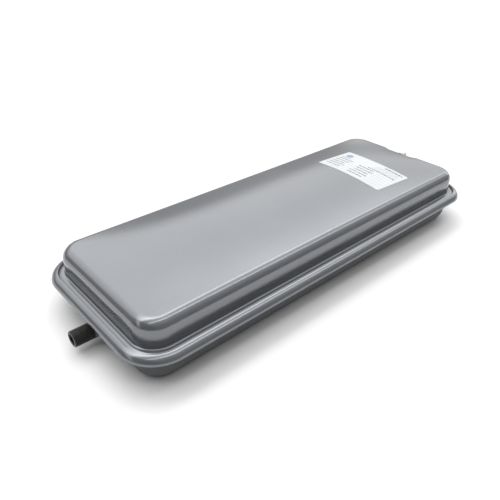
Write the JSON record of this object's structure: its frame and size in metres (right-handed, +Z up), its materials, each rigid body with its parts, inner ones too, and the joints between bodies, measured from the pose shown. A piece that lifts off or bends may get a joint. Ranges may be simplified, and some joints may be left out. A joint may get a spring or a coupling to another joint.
{
  "type": "expansion vessel",
  "caption": "Flat rectangular boiler expansion vessel: drawn steel pans clinched round a rubber diaphragm, threaded water nipple at one end and a capped charging valve at the other.",
  "frame": {"origin": "middle of the flat underside that the vessel lies on", "axes": "+X along the length towards the charging valve, -X towards the water nipple, +Y across the width, +Z up through the crowned top"},
  "size_m": [0.53, 0.203, 0.0746],
  "materials": {
    "grey_paint": "gloss grey stoving paint with a light orange peel",
    "black_steel": "black oiled steel thread",
    "nickel": "nickel-plated, slightly warm",
    "brass": "turned",
    "spring_steel": "bright wire",
    "seal_rubber": "moulded",
    "diaphragm_rubber": "moulded, matt",
    "label_paper": null
  },
  "bodies": {
    "vessel": {"upper_shell": "grey_paint", "lower_shell": "grey_paint", "clinch_ring": "grey_paint", "diaphragm_bead": "diaphragm_rubber", "diaphragm_skirt": "diaphragm_rubber", "water_nipple": "black_steel", "water_nipple_weld": "grey_paint", "valve_stem": "brass", "valve_solder_ring": "grey_paint", "core_plug": "brass", "core_barrel": "brass", "core_barrel_seal": "seal_rubber", "core_spring": "spring_steel", "label": "label_paper"},
    "diaphragm": {"diaphragm_panel": "diaphragm_rubber"},
    "core_pin_set": {"core_pin": "spring_steel", "core_cup": "brass", "core_cup_seal": "seal_rubber"},
    "cap_seal": {"valve_cap_seal": "seal_rubber"},
    "cap": {"valve_cap": "nickel"}
  },
  "joints": [
    {"name": "diaphragm_rise", "type": "slide", "parent": "vessel", "child": "diaphragm", "axis": [0, 0, 1], "range_m": [0, 0.03], "deforming": ["diaphragm_skirt"]},
    {"name": "core_pin_press", "type": "slide", "parent": "vessel", "child": "core_pin_set", "axis": [-1, 0, 0], "range_m": [0, 0.0015], "stiffness_N_per_m": 700, "springref_m": -0.002, "deforming": ["core_spring"]},
    {"name": "cap_lift", "type": "slide", "parent": "vessel", "child": "cap_seal", "axis": [1, 0, 0], "range_m": [0, 0.00476]},
    {"name": "cap_turn", "type": "hinge", "parent": "cap_seal", "child": "cap", "pos_m": [0.233, 0, 0.0603], "axis": [1, 0, 0], "range_deg": [0, 2160]}
  ],
  "couplings": [
    {"joint": "cap_turn", "follows": "cap_lift", "rad_per_m": 7915.9}
  ]
}
